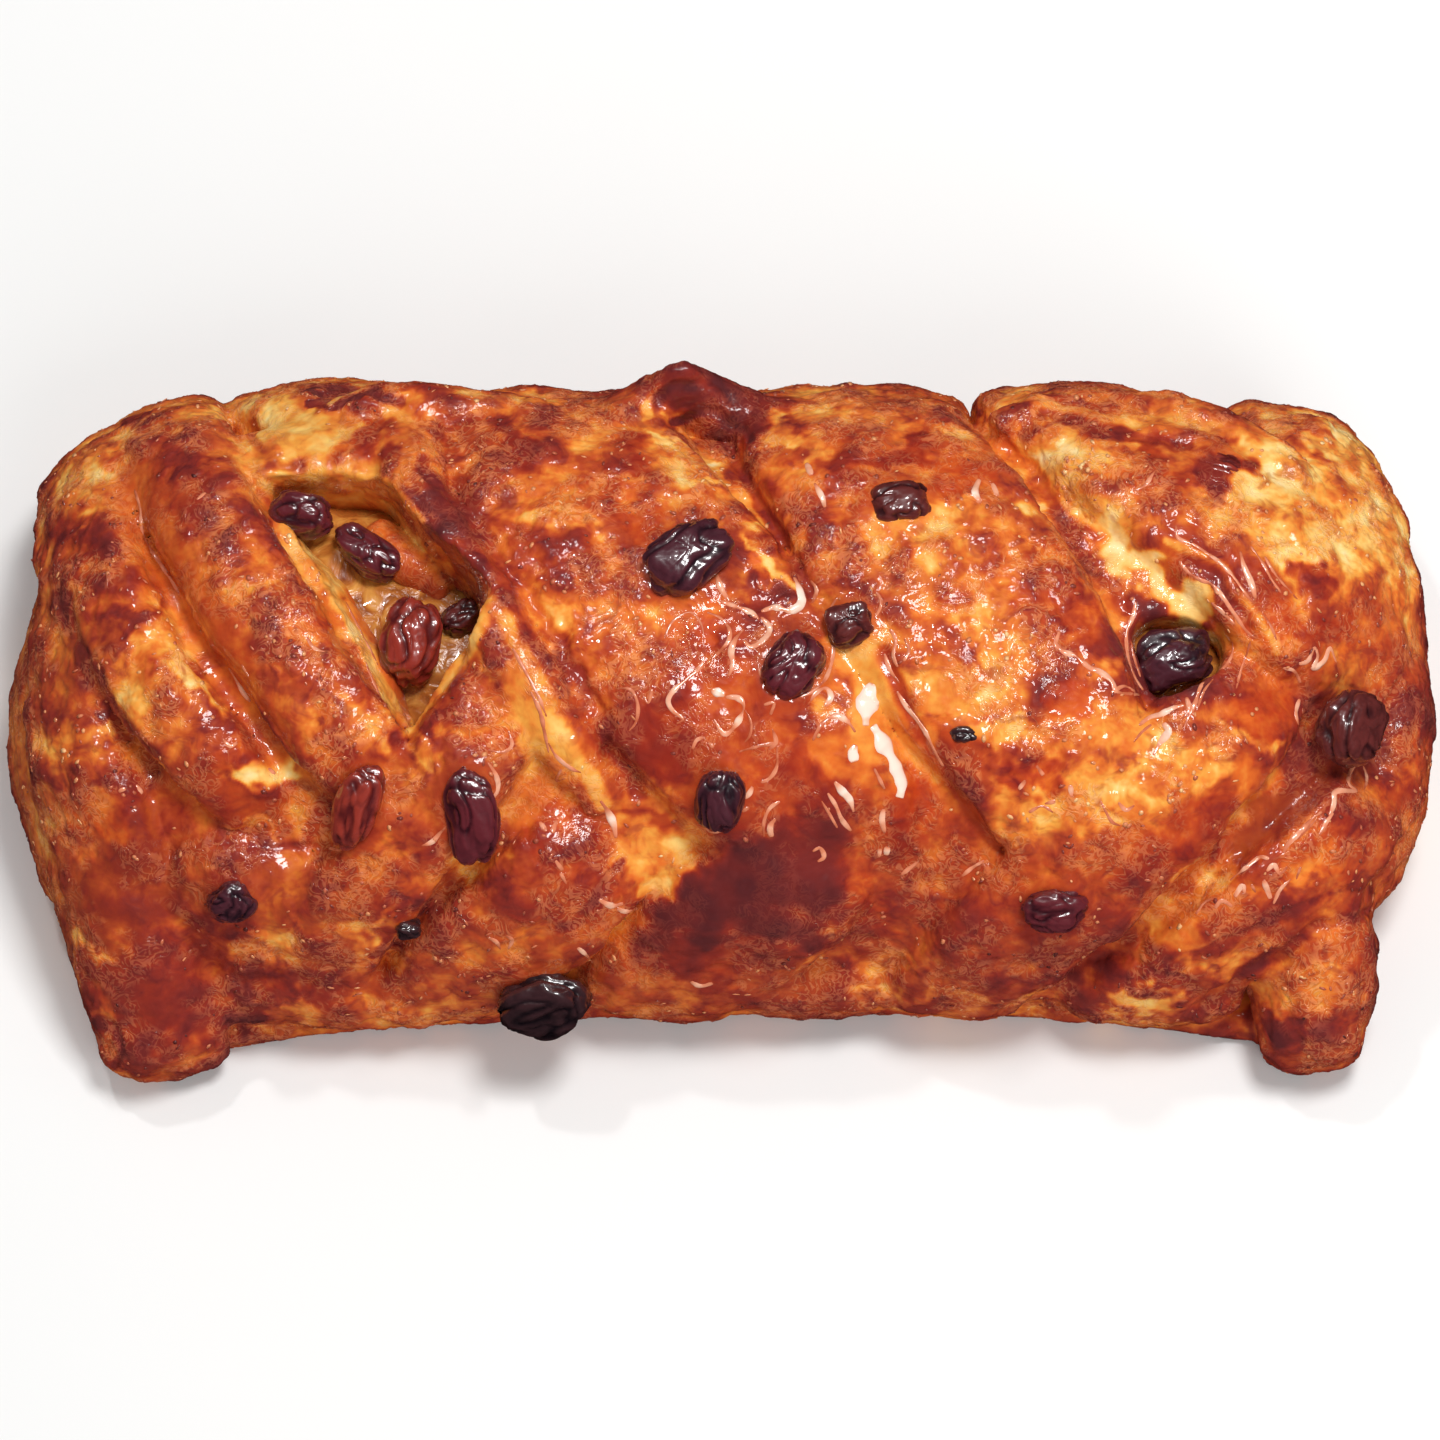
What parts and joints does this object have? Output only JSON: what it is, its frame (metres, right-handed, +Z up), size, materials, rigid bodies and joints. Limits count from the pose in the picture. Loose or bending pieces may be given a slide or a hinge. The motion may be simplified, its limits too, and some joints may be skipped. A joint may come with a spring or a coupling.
{
  "type": "plaited danish pastry with dried fruit",
  "caption": "Glazed oblong plaited danish: overlapping dough flaps cross a fruit filling that shows in two openings, with dried fruit on top.",
  "frame": {"origin": "middle of the underside, on the surface it rests on", "axes": "+X along the plait, +Z up, -Y the near long side of the picture"},
  "size_m": [0.1399, 0.0705, 0.0376],
  "materials": {
    "baked_dough": "browned flaky crust under a clear sugar glaze",
    "fruit_filling": "wet, glossy",
    "raisin_skin": "wrinkled, glazed"
  },
  "bodies": {
    "root": {"pastry": "baked_dough", "filling": "fruit_filling", "raisin_01": "raisin_skin", "raisin_02": "raisin_skin", "raisin_03": "raisin_skin", "raisin_04": "raisin_skin", "raisin_05": "raisin_skin", "raisin_06": "raisin_skin", "raisin_07": "raisin_skin", "raisin_08": "raisin_skin", "raisin_09": "raisin_skin", "raisin_10": "raisin_skin", "raisin_11": "raisin_skin", "raisin_12": "raisin_skin", "raisin_13": "raisin_skin", "raisin_14": "raisin_skin", "raisin_15": "raisin_skin", "raisin_16": "raisin_skin", "raisin_17": "raisin_skin"}
  },
  "joints": []
}
